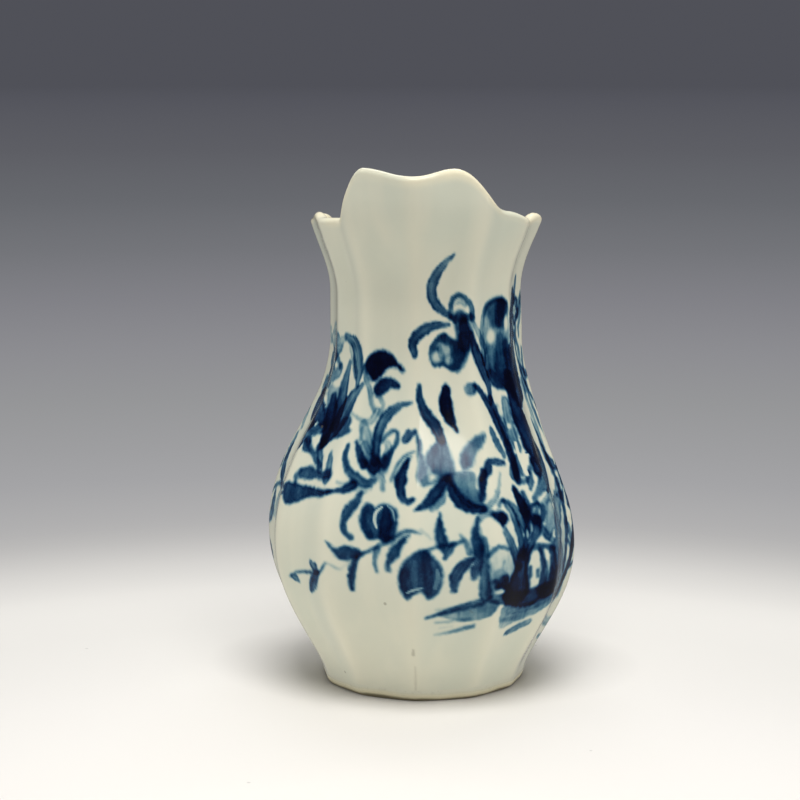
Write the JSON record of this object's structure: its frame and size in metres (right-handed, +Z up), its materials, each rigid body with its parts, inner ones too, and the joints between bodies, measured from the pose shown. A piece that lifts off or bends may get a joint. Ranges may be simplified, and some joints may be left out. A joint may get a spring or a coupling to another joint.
{
  "type": "cream jug",
  "caption": "Small fluted baluster porcelain cream jug with a raised pouring lip, scalloped rim, loop handle and painted blue flowering branches.",
  "frame": {"origin": "middle of the whole jug's box, on the surface that it stands on; the jug's own axis lies 7.9 mm from it towards the lip", "axes": "+Z up, -Y towards the pouring lip, +Y towards the handle"},
  "size_m": [0.0576, 0.0734, 0.0966],
  "materials": {
    "glaze": "glossy greyish white glaze over blue painting",
    "bare_foot": "wiped foot with a bare, slightly stained edge"
  },
  "bodies": {
    "root": {"body_left_half": "glaze", "body_right_half": "glaze", "base_disc": "glaze", "foot_ring": "bare_foot", "handle": "glaze", "handle_upper_lute": "glaze", "handle_lower_lute": "glaze"}
  },
  "joints": []
}
